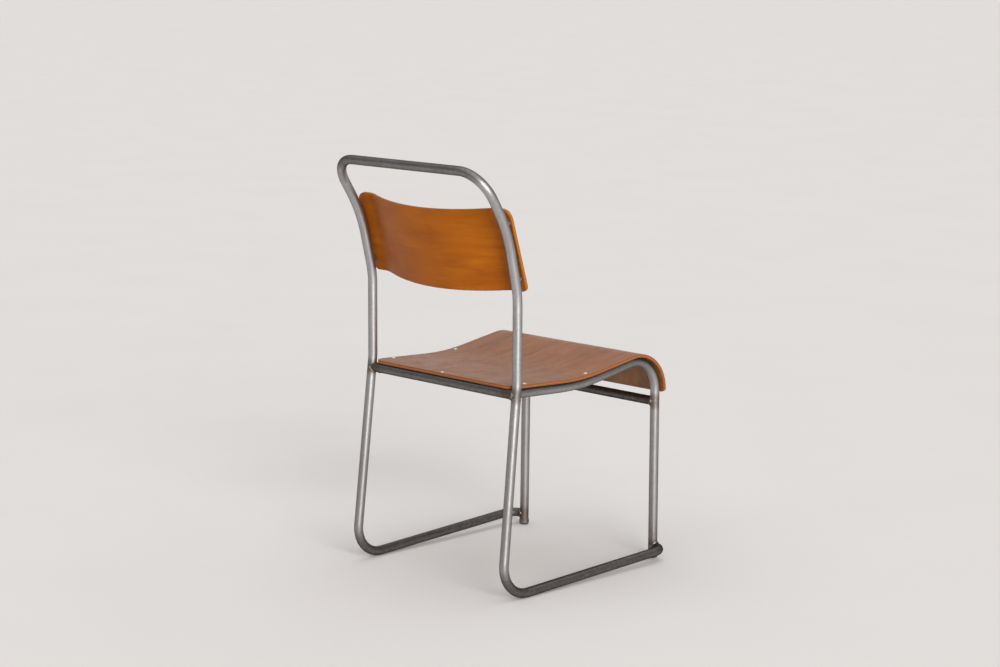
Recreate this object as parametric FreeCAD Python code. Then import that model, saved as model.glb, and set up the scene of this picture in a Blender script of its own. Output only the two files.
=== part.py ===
"""Stacking chair: bent steel tube frame with a moulded plywood seat and backrest.

Units are millimetres.  The sitter faces -Y, +Z is up and the floor is z = 0.
The sitter's left is +X and the sitter's right is -X.
"""
import FreeCAD
import Part
import math
import os

V = FreeCAD.Vector

# ---------------------------------------------------------------- driving dimensions
TUBE_D = 19.05            # three-quarter inch steel tube, used for the whole frame
TUBE_WALL = 1.6
TUBE_R = TUBE_D / 2
BORE_R = TUBE_R - TUBE_WALL

# back frame: one tube from front foot to front foot, over the top rail
POST_X = 217.0            # half spacing of the posts at the knee
POST_TOP_X = 220.0        # half spacing at the top corners
REAR_X = 222.5            # half spacing at the rear of the runners
RUNNER_FRONT_X = 229.0    # half spacing at the front of the runners
REAR_Y = 265.0            # where leg line and runner line cross
KNEE = (214.7, 432.4)     # (y, z) where the splayed leg turns into the upright post
BACK_LOW = (212.0, 606.3)     # first backward bend, level with the backrest bottom
BACK_HIGH = (239.8, 735.9)    # second backward bend, behind the backrest
TOP = (310.2, 852.0)      # top rail
R_HEEL = 60.0
R_KNEE = 100.0
R_BACK_LOW = 195.0
R_BACK_HIGH = 290.0
R_TOP_CORNER = 60.0
R_TOE = 30.0
RUNNER_FRONT_Z = 24.5     # the runner climbs slightly from heel to front foot

# side frames: front leg and seat rail bent from one tube
FOOT = (194.8, -198.9)    # (x, y) of the front leg axis on the floor
SHOULDER = (192.0, -207.3, 437.0)     # front corner of the seat rail
DIP = (194.6, 22.2, 399.4)            # lowest corner of the seat rail
RAIL_END = (197.4, 217.0, 408.7)      # on the axis of the rear cross rail
R_SHOULDER = 66.0
R_DIP = 530.0
LEG_END_Z = 4.0           # the cut end of the front leg inside its ferrule

CROSS_RAIL_Z = 409.5
CROSS_BAR_Z = 334.3
COPE_GAP = 0.05           # clearance of each coped tube end
COPE_BLUNT = 2.5          # length ground off the tips of the runner copes

# weld beads
BEAD_R = 3.0
BEAD_RING = 0.94          # bead centre line as a share of the tube radius
BEAD_STOP = 14.0          # degrees left open where the run starts and stops
BEAD_STEPS = 16

# ferrule on each front leg
FERRULE_R = 10.75
FERRULE_H = 12.0
FERRULE_FLAT_R = 5.5

# plywood
PLY_T = 7.0
R_PLY_EDGE = 0.8
SEAT_HALF_W = 207.5
SEAT_GAP = 1.6            # washer thickness between seat rail and seat
SEAT_LIP_Z = 353.5        # bottom of the front lip
SEAT_REAR_Y = 223.5
R_SEAT_REAR = 26.0
R_SEAT_LIP = 9.0

# The backrest is bowed between two flat wings that lie in front of the posts.
# Its section is set out in x and in depth, measured rearward from BACK_FOOT.
BACK_HALF_W = 226.0
BACK_FOOT = (192.0, 613.0)    # (y, z) of the line the section is set out from
BACK_TILT = 16.0              # degrees
BACK_H = 170.5
WING_DEPTH = 4.5              # rear face of the wings
WING_X = 197.0                # where the wings start to bend
BOW_DEPTH = 42.5              # rear face in the middle
R_WING_BEND = 70.0
R_BACK_UPPER = 20.0
R_BACK_LOWER = 12.0

# rivets
SHANK_R = 2.4
HOLE_CLEAR = 0.1
HEAD_R = 4.8
HEAD_H = 2.0
HEAD_LIFT = 0.02          # keeps the flat of the head clear of the curved plywood
TAIL_R = 3.4
TAIL_H = 3.0
TAIL_DROP = 0.9           # the tail sits this far inside the tube wall
WASHER_R = 7.0
SPACER_R = 5.5
SEAT_RIVET_Y = (176.0, 1.0)
REAR_RIVET_Y = 216.5
BACK_RIVET_V = (29.0, 144.5)  # heights up the backrest from its lower edge


# ---------------------------------------------------------------- helpers
def filleted_wire(points, radii):
    """Wire through points with a round bend of the given radius at each inner point."""
    points = [V(*p) for p in points]
    edges = []
    start = points[0]
    for i, radius in enumerate(radii):
        corner = points[i + 1]
        back = (points[i] - corner).normalize()
        ahead = (points[i + 2] - corner).normalize()
        half = back.getAngle(ahead) / 2
        reach = radius / math.tan(half)
        p_in = corner + back * reach
        p_out = corner + ahead * reach
        bisector = (back + ahead).normalize()
        middle = corner + bisector * (radius / math.sin(half) - radius)
        edges.append(Part.LineSegment(start, p_in).toShape())
        edges.append(Part.Arc(p_in, middle, p_out).toShape())
        start = p_out
    edges.append(Part.LineSegment(start, points[-1]).toShape())
    return Part.Wire(edges)


def bent_rod(wire, radius):
    """Round solid bar along a wire of straight lines and arcs."""
    lengths = []
    for edge in wire.OrderedEdges:
        start = edge.valueAt(edge.FirstParameter)
        direction = edge.tangentAt(edge.FirstParameter)
        face = Part.Face(Part.Wire(Part.makeCircle(radius, start, direction)))
        if isinstance(edge.Curve, Part.Line):
            lengths.append(face.extrude(edge.valueAt(edge.LastParameter) - start))
        else:
            turn = math.degrees(edge.LastParameter - edge.FirstParameter)
            lengths.append(face.revolve(edge.Curve.Center, edge.Curve.Axis, turn))
    return lengths[0].multiFuse(lengths[1:]).removeSplitter()


def straight_rod(a, b, radius):
    a = V(*a)
    b = V(*b)
    return Part.makeCylinder(radius, (b - a).Length, a, b - a)


def largest(shape):
    """The biggest solid of a shape, without the slivers left by a cut."""
    return sorted(shape.Solids, key=lambda s: s.Volume)[-1]


def mirrored(shape):
    """The same shape on the other side of the chair."""
    return shape.mirror(V(0, 0, 0), V(1, 0, 0))


def pair(shape):
    """A shape and its mirror image."""
    return [shape, mirrored(shape)]


def weld_bead(point, branch, main, stop_at, cutters):
    """Bead around the joint of two equal tubes.

    point is where the axes cross, branch points along the joining tube away
    from the joint, and main runs along the tube it is welded to.  The run
    starts and stops at the angle stop_at, measured around branch from main.
    """
    branch = V(*branch).normalize()
    main = V(*main)
    main = (main - branch * main.dot(branch)).normalize()
    side = branch.cross(main)
    ring_r = TUBE_R * BEAD_RING
    path = []
    for k in range(BEAD_STEPS + 1):
        turn = BEAD_STOP / 2 + (360 - BEAD_STOP) * k / BEAD_STEPS
        a = math.radians(stop_at + turn)
        across = ring_r * math.sin(a)
        along = math.sqrt(TUBE_R ** 2 - across ** 2)
        path.append(V(*point) + branch * along + main * (ring_r * math.cos(a)) + side * across)
    curve = Part.BSplineCurve()
    curve.interpolate(path)
    run = Part.Wire(curve.toShape())
    start = run.Edges[0].valueAt(run.Edges[0].FirstParameter)
    direction = run.Edges[0].tangentAt(run.Edges[0].FirstParameter)
    ring = Part.Wire(Part.makeCircle(BEAD_R, start, direction))
    bead = run.makePipeShell([ring], True, True)
    for cutter in cutters:
        bead = bead.cut(cutter)
    return largest(bead)


def turned_solid(profile_points, base, axis):
    """Revolve (radius, height) points about an axis that starts at base."""
    pts = [V(r, 0, h) for r, h in profile_points]
    face = Part.Face(Part.makePolygon(pts + pts[:1]))
    solid = face.revolve(V(0, 0, 0), V(0, 0, 1), 360)
    solid = Part.Solid(Part.Shell(solid.Faces)) if solid.ShapeType != "Solid" else solid
    spin = FreeCAD.Rotation(V(0, 0, 1), axis)
    solid.Placement = FreeCAD.Placement(base, spin)
    return solid


def rivet(seat, axis, grip):
    """Blind rivet: domed head standing on seat, shank running against axis.

    grip is the stack it clamps; the tail swells behind it.
    """
    dome_r = (HEAD_R ** 2 + HEAD_H ** 2) / (2 * HEAD_H)
    dome = Part.makeSphere(dome_r, V(0, 0, HEAD_H - dome_r))
    head = dome.common(Part.makeCylinder(HEAD_R, HEAD_H + 1))
    shank = Part.makeCylinder(SHANK_R, grip, V(0, 0, -grip))
    tail = Part.makeCylinder(TAIL_R, TAIL_H, V(0, 0, -grip - TAIL_H))
    tail = tail.makeFillet(1.0, [e for e in tail.Edges if e.Length > TAIL_R * 6])
    body = head.fuse(shank).fuse(tail).removeSplitter()
    lifted = seat + axis * HEAD_LIFT
    body.Placement = FreeCAD.Placement(lifted, FreeCAD.Rotation(V(0, 0, 1), axis))
    return body


def ring(seat, axis, outer, thick, depth):
    """Plain washer of the given thickness lying depth below seat along the axis."""
    base = seat - axis * (depth + thick)
    disc = Part.makeCylinder(outer, thick, base, axis)
    return disc.cut(Part.makeCylinder(SHANK_R + HOLE_CLEAR, thick + 2, base - axis, axis))


def hole(seat, axis, depth):
    """Cutter for a rivet hole from just above seat down to depth below it."""
    return Part.makeCylinder(SHANK_R + HOLE_CLEAR, depth + 3, seat + axis * 3, axis * -1)


# ---------------------------------------------------------------- back frame
def back_frame_wire(corner_z):
    """Axis of the whole back frame with the heel corners at the given height."""
    half_path = [
        (FOOT[0], FOOT[1] - 0.45, RUNNER_FRONT_Z),
        (RUNNER_FRONT_X, FOOT[1], RUNNER_FRONT_Z),
        (REAR_X, REAR_Y, corner_z),
        (POST_X,) + KNEE,
        (POST_X,) + BACK_LOW,
        ((POST_X + POST_TOP_X) / 2,) + BACK_HIGH,
        (POST_TOP_X,) + TOP,
    ]
    half_radii = [R_TOE, R_HEEL, R_KNEE, R_BACK_LOW, R_BACK_HIGH, R_TOP_CORNER]
    full_path = half_path + [(-x, y, z) for x, y, z in reversed(half_path)]
    return filleted_wire(full_path, half_radii + half_radii[::-1])


# The heel corners are lowered until the heel bends just rest on the floor.
heel_z = TUBE_R
for attempt in range(4):
    heel_z += TUBE_R - back_frame_wire(heel_z).BoundBox.ZMin
back_wire = back_frame_wire(heel_z)
back_bar = bent_rod(back_wire, TUBE_R)
back_bore = bent_rod(back_wire, BORE_R)

# ---------------------------------------------------------------- side frames
leg_slope = (SHOULDER[1] - FOOT[1]) / SHOULDER[2]
leg_splay = (SHOULDER[0] - FOOT[0]) / SHOULDER[2]


def leg_point(z):
    """Point on the axis of the left front leg."""
    return (FOOT[0] + leg_splay * z, FOOT[1] + leg_slope * z, z)


side_wire = filleted_wire([leg_point(LEG_END_Z), SHOULDER, DIP, RAIL_END], [R_SHOULDER, R_DIP])
side_bar = bent_rod(side_wire, TUBE_R)
side_bore = bent_rod(side_wire, BORE_R)


def post_point(z):
    """Point on the axis of the left rear leg below the knee."""
    share = (z - heel_z) / (KNEE[1] - heel_z)
    return (REAR_X + (POST_X - REAR_X) * share, REAR_Y + (KNEE[0] - REAR_Y) * share, z)


# ---------------------------------------------------------------- cross tubes
rail_a = post_point(CROSS_RAIL_Z)
rail_b = (-rail_a[0], rail_a[1], rail_a[2])
rail_bar = straight_rod(rail_a, rail_b, TUBE_R)
rail_bore = straight_rod(rail_a, rail_b, BORE_R)
bar_a = leg_point(CROSS_BAR_Z)
bar_b = (-bar_a[0], bar_a[1], bar_a[2])
bar_bar = straight_rod(bar_a, bar_b, TUBE_R)
bar_bore = straight_rod(bar_a, bar_b, BORE_R)

# Each joining tube is coped round the tube it is welded to, with a hair's clearance.
cope_r = TUBE_R + COPE_GAP
leg_cope = straight_rod(leg_point(0), leg_point(SHOULDER[2] - R_SHOULDER), cope_r)
post_cope = straight_rod(post_point(CROSS_RAIL_Z - 50), post_point(CROSS_RAIL_Z + 14), cope_r)
rail_cope = straight_rod(rail_a, rail_b, cope_r)

# the sharp tips of the runner copes are ground blunt
blunt_x = FOOT[0] + COPE_BLUNT
tips = Part.makeBox(2 * blunt_x, 60, 60, V(-blunt_x, FOOT[1] - 30, 0))

back_frame = largest(
    back_bar.cut(leg_cope).cut(mirrored(leg_cope)).cut(tips).cut(back_bore))
cross_rail = largest(rail_bar.cut(post_cope).cut(mirrored(post_cope)).cut(rail_bore))
side_left = largest(side_bar.cut(rail_cope).cut(side_bore))
side_right = mirrored(side_left)
cross_bar = largest(bar_bar.cut(leg_cope).cut(mirrored(leg_cope)).cut(bar_bore))

# ---------------------------------------------------------------- weld beads
leg_dir = (leg_splay, leg_slope, 1)
post_dir = (POST_X - REAR_X, KNEE[0] - REAR_Y, KNEE[1] - heel_z)
# welds under the seat are ground level with the top of the rail
ground = Part.makeBox(600, 200, 20, V(-300, 120, CROSS_RAIL_Z + TUBE_R))
bead_post = weld_bead(rail_a, (-1, 0, 0), post_dir, 45,
                      [post_cope, rail_bar, side_bar, ground])
bead_rail = weld_bead((RAIL_END[0], rail_a[1], CROSS_RAIL_Z), (0, -1, 0), (1, 0, 0), 135,
                      [rail_cope, side_bar, post_cope, ground, bead_post])
bead_bar = weld_bead(bar_a, (-1, 0, 0), leg_dir, 45, [leg_cope, bar_bar])
bead_toe = weld_bead(leg_point(RUNNER_FRONT_Z), (1, 0.02, 0), leg_dir, 180,
                     [leg_cope, back_bar])

# ---------------------------------------------------------------- ferrules
ferrule_profile = [(0, 0), (FERRULE_FLAT_R, 0)]
for k in range(1, 9):
    a = math.pi / 2 * k / 8
    ferrule_profile.append((FERRULE_FLAT_R + (FERRULE_R - FERRULE_FLAT_R) * math.sin(a),
                            5.0 * (1 - math.cos(a))))
ferrule_profile += [(FERRULE_R, FERRULE_H - 0.6), (FERRULE_R - 0.6, FERRULE_H), (0, FERRULE_H)]
foot = leg_point(0)
ferrule = turned_solid(ferrule_profile, V(*foot), V(0, 0, 1))
leg_hole = straight_rod(leg_point(LEG_END_Z), leg_point(FERRULE_H + 5), TUBE_R)
ferrule = ferrule.cut(leg_hole)


# ---------------------------------------------------------------- seat
def offset_corner(before, corner, after, shift):
    """Corner of a bent line after moving the line sideways by shift, in (y, z)."""
    def unit(a, b):
        length = math.hypot(b[0] - a[0], b[1] - a[1])
        return ((b[0] - a[0]) / length, (b[1] - a[1]) / length)
    u = unit(before, corner)
    w = unit(corner, after)
    normal_u = (-u[1], u[0])
    normal_w = (-w[1], w[0])
    scale = shift / (1 + normal_u[0] * normal_w[0] + normal_u[1] * normal_w[1])
    return (corner[0] + (normal_u[0] + normal_w[0]) * scale,
            corner[1] + (normal_u[1] + normal_w[1]) * scale)


# seat line, from the front foot over the shoulder to the rear, in (y, z)
line = [(FOOT[1], 0.0), SHOULDER[1:], DIP[1:], RAIL_END[1:]]
slope_end = (RAIL_END[2] - DIP[2]) / (RAIL_END[1] - DIP[1])


def seat_curve(shift):
    """Seat rail line moved outward by shift, ended at the lip and the rear edge."""
    shoulder = offset_corner(line[0], line[1], line[2], shift)
    dip = offset_corner(line[1], line[2], line[3], shift)
    lip_y = shoulder[0] - leg_slope * (shoulder[1] - SEAT_LIP_Z)
    lip = (0, lip_y, SEAT_LIP_Z)
    end_y = SEAT_REAR_Y - slope_end * shift
    rear = (0, end_y, dip[1] + slope_end * (end_y - dip[0]))
    return filleted_wire([lip, (0,) + shoulder, (0,) + dip, rear],
                         [R_SHOULDER + shift, R_DIP - shift])


under = TUBE_R + SEAT_GAP
# the line runs rearward, so outward is to its left
lower = seat_curve(under)
upper = seat_curve(under + PLY_T)
lip_edge = Part.LineSegment(lower.OrderedVertexes[0].Point, upper.OrderedVertexes[0].Point)
rear_edge = Part.LineSegment(lower.OrderedVertexes[-1].Point, upper.OrderedVertexes[-1].Point)
outline = Part.Wire(Part.__sortEdges__(
    lower.Edges + upper.Edges + [lip_edge.toShape(), rear_edge.toShape()]))
seat_panel = Part.Face(outline).extrude(V(2 * SEAT_HALF_W, 0, 0))
seat_panel.translate(V(-SEAT_HALF_W, 0, 0))


def thickness_edges(shape, test):
    """Straight edges about as long as the plywood is thick that pass a test."""
    found = []
    for e in shape.Edges:
        mid = e.valueAt((e.FirstParameter + e.LastParameter) / 2)
        if abs(e.Length - PLY_T) < 0.9 and test(mid):
            found.append(e)
    return found


def soften(shape):
    """Takes the sharpness off both rims of a plywood panel."""
    shape = largest(shape)
    rims = [e for e in shape.Edges if abs(e.Length - PLY_T) > 0.9]
    return shape.makeFillet(R_PLY_EDGE, rims)


seat_panel = seat_panel.makeFillet(R_SEAT_REAR, thickness_edges(
    seat_panel, lambda p: p.y > SEAT_REAR_Y - 5 and abs(p.x) > SEAT_HALF_W - 1))
seat_panel = seat_panel.makeFillet(R_SEAT_LIP, thickness_edges(
    seat_panel, lambda p: p.z < SEAT_LIP_Z + 3 and abs(p.x) > SEAT_HALF_W - 1))
seat_panel = soften(seat_panel)

# ---------------------------------------------------------------- backrest
tilt = math.radians(BACK_TILT)
up = V(0, math.sin(tilt), math.cos(tilt))
rearward = V(0, math.cos(tilt), -math.sin(tilt))
foot_mid = V(0, *BACK_FOOT)
# the bow and the two wing bends turn through the same angle
bow_angle = 2 * math.atan((BOW_DEPTH - WING_DEPTH) / WING_X)
bow_r = WING_X / math.sin(bow_angle) - R_WING_BEND


def flip(vector):
    return V(-vector.x, vector.y, vector.z)


def in_section(x, depth):
    return foot_mid + V(x, 0, 0) + rearward * depth


def arc_points(x, depth, radius, angles):
    """Points round a centre, with angle 0 rearward and positive angles towards +X."""
    return [in_section(x + radius * math.sin(a), depth + radius * math.cos(a)) for a in angles]


def back_curve(forward):
    """Rear face of the section, or a line that far in front of it, from -X to +X."""
    bow = arc_points(0, BOW_DEPTH - bow_r, bow_r - forward, (-bow_angle, 0, bow_angle))
    bend_angles = (math.pi + bow_angle, math.pi + bow_angle / 2, math.pi)
    bend = arc_points(WING_X, WING_DEPTH + R_WING_BEND, R_WING_BEND + forward, bend_angles)
    bend_right = [flip(p) for p in reversed(bend)]
    tip = in_section(BACK_HALF_W, WING_DEPTH - forward)
    return [
        Part.LineSegment(flip(tip), bend_right[0]).toShape(),
        Part.Arc(*bend_right).toShape(),
        Part.Arc(*bow).toShape(),
        Part.Arc(*bend).toShape(),
        Part.LineSegment(bend[-1], tip).toShape(),
    ]


rear_curve = back_curve(0)
front_curve = back_curve(PLY_T)
ends = [Part.LineSegment(in_section(x, WING_DEPTH), in_section(x, WING_DEPTH - PLY_T)).toShape()
        for x in (-BACK_HALF_W, BACK_HALF_W)]
section = Part.Face(Part.Wire(Part.__sortEdges__(rear_curve + front_curve + ends)))
back_panel = section.extrude(up * BACK_H)


def height_up_back(p):
    return (p - foot_mid).dot(up)


back_panel = back_panel.makeFillet(R_BACK_UPPER, thickness_edges(
    back_panel, lambda p: height_up_back(p) > BACK_H - 2 and abs(p.x) > BACK_HALF_W - 8))
back_panel = back_panel.makeFillet(R_BACK_LOWER, thickness_edges(
    back_panel, lambda p: height_up_back(p) < 2 and abs(p.x) > BACK_HALF_W - 8))
back_panel = soften(back_panel)

# ---------------------------------------------------------------- rivets
def axis_at(wire, keep, height):
    """Point and direction of a tube axis where height(point) is zero."""
    best = None
    for e in wire.OrderedEdges:
        for k in range(400):
            t = e.FirstParameter + (e.LastParameter - e.FirstParameter) * k / 399
            p = e.valueAt(t)
            if keep(p) and (best is None or abs(height(p)) < best[0]):
                best = (abs(height(p)), p, e.tangentAt(t))
    return best[1], best[2]


seat_spots = []
for y in SEAT_RIVET_Y:
    on_axis, along = axis_at(side_wire, lambda p: p.z > 380 and p.y > -120, lambda p: p.y - y)
    normal = V(0, -along.z, along.y).normalize()
    if normal.z < 0:
        normal = normal * -1
    seat_spots.append((on_axis + normal * (under + PLY_T), normal))
rear_normal = V(0, -slope_end, 1).normalize()
rear_top = RAIL_END[2] + slope_end * (REAR_RIVET_Y - RAIL_END[1])
rear_spot = V(0, REAR_RIVET_Y, rear_top) + V(0, 0, (under + PLY_T) / rear_normal.z)

seat_grip = PLY_T + SEAT_GAP + TUBE_WALL + TAIL_DROP
seat_rivets = [rivet(rear_spot, rear_normal, seat_grip)]
seat_washers = []
rear_hole = hole(rear_spot, rear_normal, seat_grip + 1)
seat_panel = seat_panel.cut(rear_hole)
cross_rail = cross_rail.cut(rear_hole)
for spot, normal in seat_spots:
    seat_rivets += pair(rivet(spot, normal, seat_grip))
    seat_washers += pair(ring(spot, normal, WASHER_R, SEAT_GAP, PLY_T))
    holes = pair(hole(spot, normal, seat_grip + 1))
    seat_panel = seat_panel.cut(holes[0]).cut(holes[1])
    side_left = side_left.cut(holes[0])
    side_right = side_right.cut(holes[1])

back_rivets = []
back_spacers = []
for v in BACK_RIVET_V:
    on_axis, along = axis_at(
        back_wire, lambda p: p.x > 0 and 600 < p.z < 830, lambda p: height_up_back(p) - v)
    depth = (on_axis - foot_mid).dot(rearward)
    gap = depth - TUBE_R - WING_DEPTH
    normal = rearward * -1
    spot = on_axis + normal * (depth - WING_DEPTH + PLY_T)
    back_grip = PLY_T + gap + TUBE_WALL + TAIL_DROP
    back_rivets += pair(rivet(spot, normal, back_grip))
    spacer = ring(spot, normal, SPACER_R, gap + 2, PLY_T).cut(back_bar)
    back_spacers += pair(largest(spacer))
    holes = pair(hole(spot, normal, back_grip + 1))
    back_panel = back_panel.cut(holes[0]).cut(holes[1])
    back_frame = back_frame.cut(holes[0]).cut(holes[1])

# ---------------------------------------------------------------- export
# everything so far is set out from the seat, so the whole is centred in y at the end
front_y = min(vertex.Y for vertex in seat_panel.Vertexes)
rear_y = TOP[0] + TUBE_R
centring = V(0, -(front_y + rear_y) / 2, 0)

os.makedirs("parts", exist_ok=True)
parts = {
    "back_frame": back_frame,
    "side_frame_left": side_left,
    "side_frame_right": side_right,
    "rear_cross_rail": cross_rail,
    "front_cross_bar": cross_bar,
    "weld_post_left": bead_post,
    "weld_post_right": mirrored(bead_post),
    "weld_seat_rail_left": bead_rail,
    "weld_seat_rail_right": mirrored(bead_rail),
    "weld_cross_bar_left": bead_bar,
    "weld_cross_bar_right": mirrored(bead_bar),
    "weld_runner_left": bead_toe,
    "weld_runner_right": mirrored(bead_toe),
    "foot_ferrule_left": ferrule,
    "foot_ferrule_right": mirrored(ferrule),
    "seat_panel": seat_panel,
    "back_panel": back_panel,
    "seat_rivets": Part.makeCompound(seat_rivets),
    "seat_washers": Part.makeCompound(seat_washers),
    "back_rivets": Part.makeCompound(back_rivets),
    "back_spacers": Part.makeCompound(back_spacers),
}
for name, shape in parts.items():
    if len(shape.Solids) == 1:
        shape = shape.Solids[0]
    shape.translate(centring)
    shape.exportStep("parts/" + name + ".step")
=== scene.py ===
import bpy
import math
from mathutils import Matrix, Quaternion, Vector


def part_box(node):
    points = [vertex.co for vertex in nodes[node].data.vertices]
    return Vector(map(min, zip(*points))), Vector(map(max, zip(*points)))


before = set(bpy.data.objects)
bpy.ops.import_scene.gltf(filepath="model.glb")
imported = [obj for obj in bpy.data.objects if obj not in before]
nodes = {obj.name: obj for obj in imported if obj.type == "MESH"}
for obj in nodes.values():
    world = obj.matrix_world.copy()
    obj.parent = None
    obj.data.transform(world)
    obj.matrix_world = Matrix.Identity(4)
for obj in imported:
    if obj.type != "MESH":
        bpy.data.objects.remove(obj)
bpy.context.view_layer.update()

# ------------------------------------------------------------------ sizes repeated from the CAD
SHIFT_Y = -0.04791             # the CAD sets out from the seat and then centres the part in y
TUBE_R = 0.009525
PLY_T = 0.0070
PLIES = 5
SEAT_UNDER = TUBE_R + 0.0016   # from the axis of the seat rail to the underside of the seat
# seat rail line in (y, z): foot, shoulder, dip, rear end
RAIL_LINE = [(-0.1989 + SHIFT_Y, 0.0), (-0.2073 + SHIFT_Y, 0.4370),
             (0.0222 + SHIFT_Y, 0.3994), (0.2170 + SHIFT_Y, 0.4087)]
R_SHOULDER = 0.066
R_DIP = 0.530
# backrest section in (x, depth): flat wings, a bend, and a bow between the bends
WING_X = 0.197
WING_DEPTH = 0.0045
BOW_DEPTH = 0.0425
R_WING_BEND = 0.070
BACK_TILT = math.radians(16)
BACK_FOOT = Vector((0.1920 + SHIFT_Y, 0.6130))      # in (y, z)
# welded joints on the left side: post, seat rail, cross bar, runner
JOINTS = [(0.2172, 0.2174 + SHIFT_Y, 0.4095), (0.1974, 0.2174 + SHIFT_Y, 0.4095),
          (0.1927, -0.2053 + SHIFT_Y, 0.3343), (0.1948, -0.1994 + SHIFT_Y, 0.0245)]

# heights between which one zone of the frame gives way to the next
RUNNER_DARK = (0.035, 0.075)
RUNNER_MARKS = (0.045, 0.075)
# the next three bound painted shade: at the foot of the leg, low on the legs and under the seat
LEG_FOOT_SHADE = (0.02, 0.10)
LOW_LEG_SHADE = (0.15, 0.50)
SEAT_RAIL_SHADE = (0.385, 0.420)
SEAT_RAIL_MARKS = (0.375, 0.395)
TOP_RAIL = (0.825, 0.842)
# painted shade at the bottom of the foot ferrule, where it meets the floor
FOOT_FLOOR_SHADE = (0.0, 0.005)
# distances from the middle of a weld with full heat tint and with none
HEAT_REACH = (0.011, 0.024)
# how near the ends of the seat its rear edge and the edge of its lip lie
REAR_EDGE_REACH = 0.028
LIP_EDGE_REACH = 0.009
# a surface faces along an axis where its normal has at least this much of it
FACING = 0.6


# ------------------------------------------------------------------ material building
def srgb(r, g, b):
    """Linear colour for a colour given as 0-255 screen values."""
    linear = []
    for value in (r, g, b):
        value = value / 255
        linear.append(value / 12.92 if value <= 0.04045 else ((value + 0.055) / 1.055) ** 2.4)
    return (*linear, 1.0)


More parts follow.
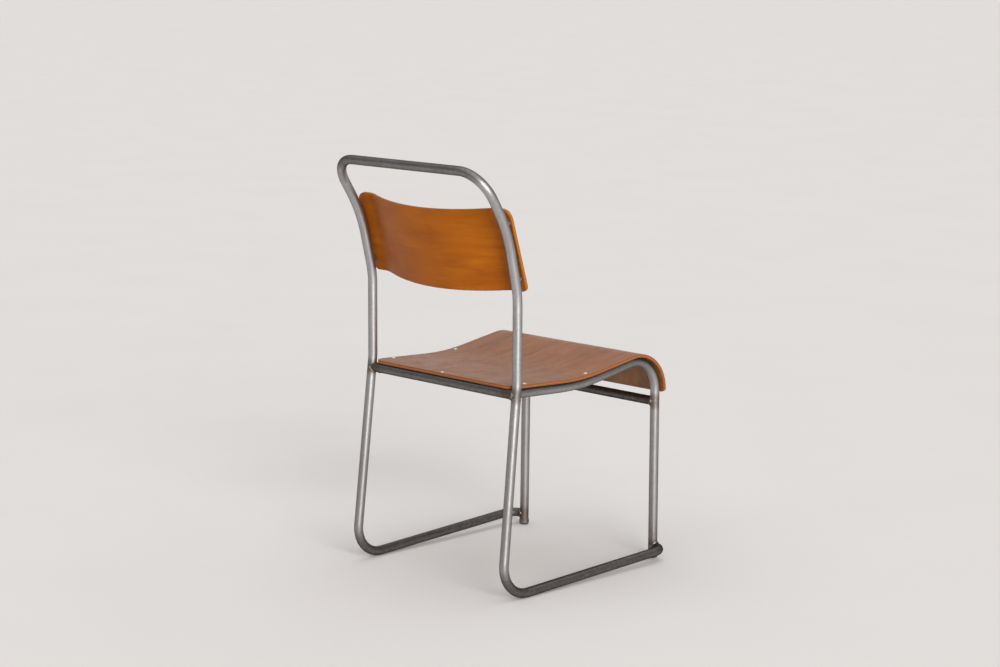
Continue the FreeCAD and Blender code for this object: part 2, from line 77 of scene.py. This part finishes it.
class Look:
    """One material. Each method adds nodes and returns an output socket."""

    def __init__(self, name):
        self.material = bpy.data.materials.new(name)
        self.material.use_nodes = True
        self.tree = self.material.node_tree
        self.tree.nodes.clear()
        self.shader = self.new("ShaderNodeBsdfPrincipled")
        output = self.new("ShaderNodeOutputMaterial")
        self.tree.links.new(self.shader.outputs[0], output.inputs[0])
        self.position = self.new("ShaderNodeTexCoord").outputs["Object"]
        self.normal = self.new("ShaderNodeNewGeometry").outputs["Normal"]
        self.x, self.y, self.z = self.split(self.position)
        self.nx, self.ny, self.nz = self.split(self.normal)

    def new(self, kind):
        return self.tree.nodes.new(kind)

    def feed(self, socket, value):
        if isinstance(value, bpy.types.NodeSocket):
            self.tree.links.new(value, socket)
        else:
            socket.default_value = value

    def set(self, **inputs):
        """Sets inputs of the shader, such as Base_Color=..."""
        for name, value in inputs.items():
            self.feed(self.shader.inputs[name.replace("_", " ")], value)

    def split(self, vector):
        node = self.new("ShaderNodeSeparateXYZ")
        self.feed(node.inputs[0], vector)
        return node.outputs[0], node.outputs[1], node.outputs[2]

    def join(self, x, y, z):
        node = self.new("ShaderNodeCombineXYZ")
        for socket, value in zip(node.inputs, (x, y, z)):
            self.feed(socket, value)
        return node.outputs[0]

    def math(self, operation, *values):
        node = self.new("ShaderNodeMath")
        node.operation = operation
        for socket, value in zip(node.inputs, values):
            self.feed(socket, value)
        return node.outputs[0]

    def add(self, a, b):
        return self.math("ADD", a, b)

    def times(self, a, b):
        return self.math("MULTIPLY", a, b)

    def absolute(self, a):
        return self.math("ABSOLUTE", a)

    def above(self, a, limit):
        return self.math("GREATER_THAN", a, limit)

    def below(self, a, limit):
        return self.math("LESS_THAN", a, limit)

    def length(self, a, b):
        return self.math("SQRT", self.add(self.times(a, a), self.times(b, b)))

    def along(self, origin, direction):
        """Distance from origin along a direction, both given in (y, z)."""
        part = self.math("MULTIPLY_ADD", self.y, direction.x, -origin.dot(direction))
        return self.math("MULTIPLY_ADD", self.z, direction.y, part)

    def most(self, *values):
        result = values[0]
        for value in values[1:]:
            result = self.math("MAXIMUM", result, value)
        return result

    def scaled(self, sx, sy, sz):
        """Position stretched by a factor along each axis."""
        node = self.new("ShaderNodeVectorMath")
        node.operation = "MULTIPLY"
        self.feed(node.inputs[0], self.position)
        node.inputs[1].default_value = (sx, sy, sz)
        return node.outputs[0]

    def noise(self, vector, scale, detail=4.0, rough=0.55, warp=0.0):
        node = self.new("ShaderNodeTexNoise")
        for name, value in (("Vector", vector), ("Scale", scale), ("Detail", detail),
                            ("Roughness", rough), ("Distortion", warp)):
            self.feed(node.inputs[name], value)
        return node.outputs[0]

    def spread(self, value, low, high, to_low=0.0, to_high=1.0):
        """Value between low and high mapped smoothly to the new range, and held outside it."""
        node = self.new("ShaderNodeMapRange")
        node.interpolation_type = "SMOOTHSTEP"
        for socket, v in zip(node.inputs, (value, low, high, to_low, to_high)):
            self.feed(socket, v)
        return node.outputs[0]

    def blend(self, factor, a, b):
        """Number a where factor is 0, b where it is 1."""
        node = self.new("ShaderNodeMix")
        node.data_type = "FLOAT"
        for index, value in ((0, factor), (2, a), (3, b)):
            self.feed(node.inputs[index], value)
        return node.outputs[0]

    def past(self, value, limit, before, after):
        """Number before up to the limit of a value, and after beyond it."""
        return self.blend(self.above(value, limit), before, after)

    def mix(self, factor, a, b):
        """Colour a where factor is 0, b where it is 1."""
        node = self.new("ShaderNodeMix")
        node.data_type = "RGBA"
        for index, value in ((0, factor), (6, a), (7, b)):
            self.feed(node.inputs[index], value)
        return node.outputs[2]

    def ramp(self, value, *stops):
        node = self.new("ShaderNodeValToRGB")
        self.feed(node.inputs[0], value)
        elements = node.color_ramp.elements
        while len(elements) < len(stops):
            elements.new(0.5)
        for element, (place, colour) in zip(elements, stops):
            element.position = place
            element.color = colour
        return node.outputs[0]

    def bump(self, height, strength, distance, under=None):
        node = self.new("ShaderNodeBump")
        node.inputs["Strength"].default_value = strength
        node.inputs["Distance"].default_value = distance
        self.feed(node.inputs["Height"], height)
        if under is not None:
            self.feed(node.inputs["Normal"], under)
        return node.outputs[0]

    def near(self, point, inner, outer):
        """1 within inner of a point or of its mirror image, fading to 0 at outer."""
        folded = self.join(self.absolute(self.x), self.y, self.z)
        node = self.new("ShaderNodeVectorMath")
        node.operation = "DISTANCE"
        self.feed(node.inputs[0], folded)
        node.inputs[1].default_value = point
        return self.spread(node.outputs["Value"], inner, outer, 1.0, 0.0)


# ------------------------------------------------------------------ steel
def streaks(look, axis, fine):
    """Noise drawn out along one axis, as on drawn and polished tube."""
    along, across = fine * 0.02, fine
    factors = [across] * 3
    factors["xyz".index(axis)] = along
    return look.noise(look.scaled(*factors), 1.0, 3.0, 0.6)


STEEL_TONES = ((0.30, srgb(160, 158, 157)), (0.50, srgb(170, 169, 170)), (0.72, srgb(180, 180, 182)))
# painted shade: darker copies of the steel tones for tubes that lie in shade
SHADED_STEEL_TONES = ((0.30, srgb(72, 66, 61)), (0.50, srgb(94, 89, 85)), (0.72, srgb(120, 116, 113)))
CLOUD_TONE = srgb(146, 141, 137)
MARK_TONE = srgb(200, 200, 203)
# painted shade: the drawing marks on the darker steel
SHADED_MARK_TONE = srgb(120, 118, 117)
SPECK_TONE = srgb(92, 84, 78)
# painted shade: darker, warmer steel low on the legs, as of a dark floor reflected in them
LOW_LEG_SHADE_TONE = srgb(118, 110, 108)
HEAT_TONE = srgb(96, 78, 62)
GLANCING_TINT = (0.16, 0.16, 0.16, 1.0)     # steel seen at a glancing angle
FINE_MARKS = 900.0
BROAD_MARKS = 240.0


def tube_steel(name, drawn_marks, darkness):
    """Clear lacquered bare steel, painted darker where darkness(look) is 1; most of this darkening
    is painted shade.

    drawn_marks(look, fine) gives the marks left by drawing the tube.
    """
    look = Look(name)
    marks = drawn_marks(look, FINE_MARKS)
    broad_marks = drawn_marks(look, BROAD_MARKS)
    mottle = look.noise(look.position, 150.0, 6.0, 0.66, 0.5)
    cloud = look.noise(look.position, 14.0, 3.0, 0.5, 0.3)
    speck = look.spread(look.noise(look.position, 620.0, 2.0, 0.6), 0.66, 0.74)

    patina = look.ramp(mottle, *STEEL_TONES)
    patina = look.mix(look.spread(cloud, 0.35, 0.7, 0.0, 0.30), patina, CLOUD_TONE)
    patina = look.mix(look.spread(marks, 0.42, 0.62, 0.0, 0.30), patina, MARK_TONE)
    patina = look.mix(look.times(speck, 0.35), patina, SPECK_TONE)
    # painted shade: the legs are a little darker and warmer towards the floor, standing in for a
    # dark floor reflected in them
    patina = look.mix(look.spread(look.z, *LOW_LEG_SHADE, 0.35, 0.0), patina, LOW_LEG_SHADE_TONE)
    # painted shade: a darker copy of the steel, laid on where darkness(look) is 1
    shaded_patina = look.ramp(mottle, *SHADED_STEEL_TONES)
    shaded_patina = look.mix(look.spread(marks, 0.44, 0.62, 0.0, 0.35), shaded_patina, SHADED_MARK_TONE)
    patina = look.mix(darkness(look), patina, shaded_patina)
    heat = look.most(*[look.near(point, *HEAT_REACH) for point in JOINTS])
    heat = look.times(heat, look.spread(mottle, 0.25, 0.65, 0.45, 1.0))
    patina = look.mix(look.times(heat, 0.7), patina, HEAT_TONE)

    roughness = look.spread(broad_marks, 0.3, 0.7, 0.38, 0.46)
    roughness = look.add(roughness, look.spread(mottle, 0.35, 0.75, 0.05, -0.03))
    roughness = look.add(roughness, look.times(heat, 0.12))
    normal = look.bump(mottle, 0.06, 0.0003)
    normal = look.bump(marks, 0.10, 0.0001, normal)
    look.set(Base_Color=patina, Metallic=1.0, Roughness=roughness, Normal=normal)
    look.shader.inputs["Specular Tint"].default_value = GLANCING_TINT
    return look.material


def shaded_frame(look):
    """The runners and the top rail are darker than the posts; on the top rail this is painted shade,
    as of a dark ceiling reflected in it.
    """
    runner = look.spread(look.z, *RUNNER_DARK, 1.0, 0.0)
    return look.most(look.times(runner, 0.85), look.spread(look.z, *TOP_RAIL, 0.0, 0.6))


def shaded_side(look):
    """The seat rail and the foot of the leg are darker than the middle of the leg: painted shade
    under the seat and near the floor.
    """
    rail = look.spread(look.z, *SEAT_RAIL_SHADE, 0.0, 0.45)
    return look.most(rail, look.spread(look.z, *LEG_FOOT_SHADE, 0.5, 0.0))


def shaded_cross(look):
    """Painted shade under the seat: the front cross bar is the darkest tube, the rear cross rail is
    nearly as dark.
    """
    return look.past(look.y, 0.0, 1.0, 0.75)


def along_x(look, fine):
    return streaks(look, "x", fine)


def along_frame(look, fine):
    """Marks along the runners near the floor, the top rail, and the posts between them."""
    runner = look.spread(look.z, *RUNNER_MARKS, 1.0, 0.0)
    rail = look.spread(look.z, *TOP_RAIL)
    result = look.blend(runner, streaks(look, "z", fine), streaks(look, "y", fine))
    return look.blend(rail, result, streaks(look, "x", fine))


def along_side(look, fine):
    """Marks up the front leg and then back along the seat rail."""
    seat_rail = look.spread(look.z, *SEAT_RAIL_MARKS)
    return look.blend(seat_rail, streaks(look, "z", fine), streaks(look, "y", fine))


def weld_steel():
    look = Look("weld_steel_look")
    ripple = look.noise(look.position, 520.0, 2.0, 0.5)
    grime = look.noise(look.position, 160.0, 4.0, 0.6)
    colour = look.ramp(grime, (0.3, srgb(86, 72, 61)), (0.52, srgb(122, 113, 106)),
                       (0.7, srgb(158, 155, 153)))
    look.set(Base_Color=colour, Metallic=1.0,
             Roughness=look.spread(grime, 0.3, 0.7, 0.5, 0.34),
             Normal=look.bump(ripple, 0.45, 0.0006))
    return look.material


def ferrule_steel():
    look = Look("ferrule_steel_look")
    scuff = look.noise(look.scaled(1.0, 1.0, 3.0), 240.0, 4.0, 0.65, 0.5)
    # painted shade: the bottom of the ferrule is darker where it meets the floor
    floor_shade = look.spread(look.z, *FOOT_FLOOR_SHADE, 1.0, 0.0)
    colour = look.ramp(scuff, (0.3, srgb(84, 78, 74)), (0.55, srgb(128, 125, 123)),
                       (0.75, srgb(166, 164, 163)))
    colour = look.mix(look.times(floor_shade, 0.6), colour, srgb(96, 88, 80))
    look.set(Base_Color=colour, Metallic=1.0,
             Roughness=look.spread(scuff, 0.3, 0.7, 0.5, 0.36),
             Normal=look.bump(scuff, 0.3, 0.0003))
    return look.material


def bright_metal(name, tone, grain):
    """Small bright fixings, with fine scratches and a little grime."""
    look = Look(name)
    scratch = look.noise(look.scaled(1.0, 1.0, 2.5), grain, 3.0, 0.6, 0.4)
    grime = look.noise(look.position, 300.0, 4.0, 0.6)
    colour = look.ramp(grime, (0.3, srgb(tone - 50, tone - 54, tone - 58)),
                       (0.6, srgb(tone, tone - 1, tone - 3)))
    look.set(Base_Color=colour, Metallic=1.0,
             Roughness=look.spread(scratch, 0.3, 0.7, 0.18, 0.34),
             Normal=look.bump(scratch, 0.12, 0.0001))
    return look.material


def black_rubber():
    look = Look("washer_rubber_look")
    grain = look.noise(look.position, 900.0, 3.0, 0.6)
    colour = look.ramp(grain, (0.3, srgb(18, 17, 16)), (0.7, srgb(40, 38, 36)))
    look.set(Base_Color=colour, Roughness=look.spread(grain, 0.3, 0.7, 0.6, 0.8),
             Normal=look.bump(grain, 0.3, 0.0002))
    return look.material


# ------------------------------------------------------------------ plywood
def bend_centre(before, corner, after, radius):
    """Centre of the round bend of a given radius at a corner, and the directions beside it."""
    arriving = (corner - before).normalized()
    leaving = (after - corner).normalized()
    inward = (leaving - arriving).normalized()
    half = math.acos(-arriving.dot(leaving)) / 2
    return corner + inward * (radius / math.sin(half)), arriving, leaving


def seat_depth(look):
    """Depth in the seat, from 0 on its underside to 1 on its top, all along the rail line."""
    foot, shoulder, dip, end = [Vector(point) for point in RAIL_LINE]
    shoulder_centre, leg, front = bend_centre(foot, shoulder, dip, R_SHOULDER)
    dip_centre, _, rear = bend_centre(shoulder, dip, end, R_DIP)

    def outward(origin, direction):
        return look.along(origin, Vector((-direction.y, direction.x)))

    def reach(centre):
        return look.length(look.add(look.y, -centre.x), look.add(look.z, -centre.y))

    from_shoulder = look.add(reach(shoulder_centre), -R_SHOULDER)
    from_dip = look.math("SUBTRACT", R_DIP, reach(dip_centre))
    distance = outward(foot, leg)
    distance = look.past(look.along(shoulder_centre, leg), 0.0, distance, from_shoulder)
    distance = look.past(look.along(shoulder_centre, front), 0.0, distance,
                         outward(shoulder, front))
    distance = look.past(look.along(dip_centre, front), 0.0, distance, from_dip)
    distance = look.past(look.along(dip_centre, rear), 0.0, distance, outward(end, rear))
    return look.times(look.add(distance, -SEAT_UNDER), 1 / PLY_T)


def seat_edge(look):
    """1 on the cut edges of the seat."""
    low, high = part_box("seat_panel")
    side = look.above(look.absolute(look.nx), FACING)
    rear = look.times(look.above(look.y, high.y - REAR_EDGE_REACH),
                      look.below(look.absolute(look.nz), FACING))
    lip = look.times(look.below(look.z, low.z + LIP_EDGE_REACH),
                     look.below(look.absolute(look.ny), FACING))
    return look.most(side, rear, lip)


def back_section(look):
    """Depth in the backrest, from 0 in front to 1 behind, cut-edge mask and height up it."""
    up = Vector((math.sin(BACK_TILT), math.cos(BACK_TILT)))
    rearward = Vector((math.cos(BACK_TILT), -math.sin(BACK_TILT)))
    bow_angle = 2 * math.atan((BOW_DEPTH - WING_DEPTH) / WING_X)
    bow_r = WING_X / math.sin(bow_angle) - R_WING_BEND
    side = look.absolute(look.x)
    behind = look.along(BACK_FOOT, rearward)

    def reach(centre_x, centre_depth):
        return look.length(look.add(side, -centre_x), look.add(behind, -centre_depth))

    from_bow = look.add(reach(0.0, BOW_DEPTH - bow_r), -bow_r)
    from_bend = look.math("SUBTRACT", R_WING_BEND, reach(WING_X, WING_DEPTH + R_WING_BEND))
    bow_end = bow_r * math.sin(bow_angle)
    offset = look.past(side, bow_end, from_bow, from_bend)
    offset = look.past(side, WING_X, offset, look.add(behind, -WING_DEPTH))
    depth = look.times(look.add(offset, PLY_T), 1 / PLY_T)
    facing = look.add(look.times(look.ny, rearward.x), look.times(look.nz, rearward.y))
    edge = look.below(look.absolute(facing), FACING)
    return depth, edge, look.along(BACK_FOOT, up)


FLECK_TONE = srgb(84, 40, 12)
# each face from dark to light, each edge as long ply, cross ply and glue
SEAT_TONES = (srgb(120, 69, 32), srgb(142, 85, 44), srgb(160, 101, 56))
SEAT_EDGE_TONES = (srgb(188, 110, 34), srgb(124, 66, 20), srgb(62, 32, 10))
SEAT_UNDER_TONES = (srgb(104, 61, 22), srgb(150, 101, 48))
SEAT_GLOSS = 0.55
BACK_TONES = (srgb(140, 70, 4), srgb(158, 82, 5), srgb(178, 100, 10))
BACK_EDGE_TONES = (srgb(206, 140, 64), srgb(140, 80, 28), srgb(66, 34, 12))
BACK_GLOSS = 0.12


def plywood(name, surface, tones, edge_tones, gloss, under_tones=None):
    """Lacquered veneer faces over layered edges.

    surface(look) gives the depth in the sheet, the edge mask and the coordinates along
    and across the face grain.  A sheet with under_tones has a patchy veneer of its own on
    the side where the depth is 0.
    """
    look = Look(name)
    depth, edge, grain_along, grain_across = surface(look)
    grain_space = look.join(grain_along, look.times(grain_across, 9.0), look.times(depth, 0.004))
    fibre_space = look.join(look.times(grain_along, 16.0), look.times(grain_across, 420.0), depth)
    fleck_space = look.join(look.times(grain_along, 150.0), look.times(grain_across, 900.0), depth)

    figure = look.noise(grain_space, 5.5, 5.0, 0.55, 1.1)
    rings = look.math("SINE", look.times(figure, 62.0))
    fibres = look.noise(fibre_space, 1.0, 4.0, 0.65)
    flecks = look.spread(look.noise(fleck_space, 1.0, 1.0, 0.5), 0.62, 0.70)
    stain = look.noise(look.position, 7.0, 3.0, 0.55, 0.4)
    cloud = look.noise(look.position, 26.0, 4.0, 0.6, 0.6)

    dark, middle, light = tones
    face = look.ramp(figure, (0.26, dark), (0.48, middle), (0.74, light))
    face = look.mix(look.spread(rings, 0.1, 1.0, 0.0, 0.12), face, dark)
    face = look.mix(look.spread(fibres, 0.40, 0.70, 0.0, 0.36), face, dark)
    face = look.mix(look.times(flecks, 0.30), face, FLECK_TONE)
    face = look.mix(look.spread(stain, 0.42, 0.72, 0.0, 0.35), face, light)
    face = look.mix(look.spread(cloud, 0.55, 0.78, 0.0, 0.10), face, dark)
    if under_tones:
        patches = look.noise(look.position, 24.0, 5.0, 0.6, 0.3)
        under = look.ramp(patches, (0.32, under_tones[0]), (0.66, under_tones[1]))
        under = look.mix(look.spread(fibres, 0.40, 0.70, 0.0, 0.30), under, under_tones[0])
        face = look.mix(look.above(depth, 0.5), under, face)

    layer = look.times(depth, float(PLIES))
    place = look.math("FRACT", layer)
    odd = look.above(look.math("MODULO", layer, 2.0), 1.0)
    glue = look.most(look.spread(place, 0.0, 0.10, 1.0, 0.0), look.spread(place, 0.90, 1.0))
    end_grain = look.noise(look.position, 1500.0, 2.0, 0.7)
    long_ply, cross_ply, glue_tone = edge_tones
    layers = look.mix(odd, long_ply, cross_ply)
    layers = look.mix(look.spread(end_grain, 0.42, 0.66, 0.0, 0.45), layers, glue_tone)
    layers = look.mix(look.times(glue, 0.75), layers, glue_tone)
    # stain and lacquer darken the outer veneers where the edges were rounded over
    rim = look.most(look.spread(depth, 0.06, 0.20, 1.0, 0.0), look.spread(depth, 0.80, 0.94))
    layers = look.mix(look.times(rim, 0.8), layers, glue_tone)
    look.set(Base_Color=look.mix(edge, face, layers))

    rough = look.add(look.spread(fibres, 0.3, 0.7, 0.28, 0.40),
                     look.spread(cloud, 0.35, 0.75, -0.03, 0.10))
    look.set(Roughness=look.blend(edge, rough, 0.55))
    normal = look.bump(fibres, 0.10, 0.0002)
    normal = look.bump(look.times(flecks, -1.0), 0.08, 0.0001, normal)
    normal = look.bump(look.times(look.times(glue, edge), -1.0), 0.5, 0.0002, normal)
    look.set(Normal=normal)
    look.shader.inputs["Specular IOR Level"].default_value = gloss
    return look.material


def seat_surface(look):
    # the face grain runs front to back and down over the lip, and y + z follows it round
    return seat_depth(look), seat_edge(look), look.add(look.y, look.z), look.x


def back_surface(look):
    depth, edge, height = back_section(look)
    return depth, edge, look.x, height


looks = {
    "back_frame": tube_steel("back_frame_look", along_frame, shaded_frame),
    "side_frame_left": tube_steel("side_frame_look", along_side, shaded_side),
    "rear_cross_rail": tube_steel("cross_tube_look", along_x, shaded_cross),
    "foot_ferrule_left": ferrule_steel(),
    "seat_rivets": bright_metal("rivet_look", 232, 420.0),
    "back_spacers": bright_metal("spacer_look", 196, 700.0),
    "seat_washers": black_rubber(),
    "seat_panel": plywood("seat_ply_look", seat_surface, SEAT_TONES, SEAT_EDGE_TONES, SEAT_GLOSS,
                          SEAT_UNDER_TONES),
    "back_panel": plywood("back_ply_look", back_surface, BACK_TONES, BACK_EDGE_TONES, BACK_GLOSS),
}
looks["side_frame_right"] = looks["side_frame_left"]
looks["front_cross_bar"] = looks["rear_cross_rail"]
looks["foot_ferrule_right"] = looks["foot_ferrule_left"]
looks["back_rivets"] = looks["seat_rivets"]
weld_look = weld_steel()
for name, node in nodes.items():
    for material_slot in node.material_slots:
        material_slot.material = looks.get(name, weld_look)

# ------------------------------------------------------------------ stage, light and camera
FLOOR_RADIUS = 400.0
SKY_LOW = (0.80, 0.79, 0.78, 1)
SKY_HIGH = (0.40, 0.40, 0.41, 1)
SKY_HIGH_PLACE = 0.6
SKY_STRENGTH = 0.45

bpy.ops.mesh.primitive_circle_add(vertices=96, radius=FLOOR_RADIUS, fill_type="NGON")
floor = bpy.context.object
floor.name = "floor"
floor_look = Look("floor_look")
floor_tone = floor_look.noise(floor_look.position, 2.4, 3.0, 0.5)
floor_look.set(Base_Color=floor_look.ramp(floor_tone, (0.3, srgb(224, 221, 219)),
                                          (0.7, srgb(226, 223, 221))),
               Roughness=0.9)
floor_look.shader.inputs["Specular IOR Level"].default_value = 0.1
floor.data.materials.append(floor_look.material)

world = bpy.data.worlds.new("studio")
bpy.context.scene.world = world
world.use_nodes = True
sky = world.node_tree
background = sky.nodes["Background"]
sky_place = sky.nodes.new("ShaderNodeTexCoord")
sky_height = sky.nodes.new("ShaderNodeSeparateXYZ")
sky_ramp = sky.nodes.new("ShaderNodeValToRGB")
sky.links.new(sky_place.outputs["Generated"], sky_height.inputs[0])
sky.links.new(sky_height.outputs[2], sky_ramp.inputs[0])
sky.links.new(sky_ramp.outputs[0], background.inputs[0])
for element, place, colour in zip(sky_ramp.color_ramp.elements, (0.0, SKY_HIGH_PLACE),
                                  (SKY_LOW, SKY_HIGH)):
    element.position = place
    element.color = colour
background.inputs[1].default_value = SKY_STRENGTH


def soft_sun(name, toward, strength, width, colour):
    """Even light over the whole floor, from a patch of sky that is width degrees across."""
    data = bpy.data.lights.new(name, "SUN")
    data.energy = strength
    data.angle = math.radians(width)
    data.color = colour
    lamp = bpy.data.objects.new(name, data)
    lamp.rotation_euler = (-Vector(toward)).to_track_quat("-Z", "Y").to_euler()
    bpy.context.scene.collection.objects.link(lamp)


# each direction points from the chair to the light
soft_sun("window", (-0.92, 0.38, 0.30), 3.0, 32, (1.0, 0.985, 0.965))
soft_sun("ceiling", (-0.1, 0.1, 1.0), 1.5, 100, (1.0, 0.995, 0.99))
soft_sun("fill", (0.5, -0.5, 0.5), 0.3, 80, (0.98, 0.99, 1.0))

CAMERA_PLACE = (-3.4442, 3.3009 + SHIFT_Y, 1.3150)
LENS = 84.07
SENSOR = 36.0
AZIMUTH = math.radians(226.7)
ELEVATION = math.radians(9.938)
ROLL = math.radians(-0.325)
camera_data = bpy.data.cameras.new("camera")
camera_data.sensor_width = SENSOR
camera_data.lens = LENS
camera = bpy.data.objects.new("camera", camera_data)
bpy.context.scene.collection.objects.link(camera)
bpy.context.scene.camera = camera
camera.location = CAMERA_PLACE
toward_camera = Vector((math.sin(AZIMUTH) * math.cos(ELEVATION),
                        -math.cos(AZIMUTH) * math.cos(ELEVATION), math.sin(ELEVATION)))
camera.rotation_mode = "QUATERNION"
aim = (-toward_camera).to_track_quat("-Z", "Y")
camera.rotation_quaternion = aim @ Quaternion((0, 0, 1), ROLL)
bpy.context.scene.view_settings.view_transform = "Standard"
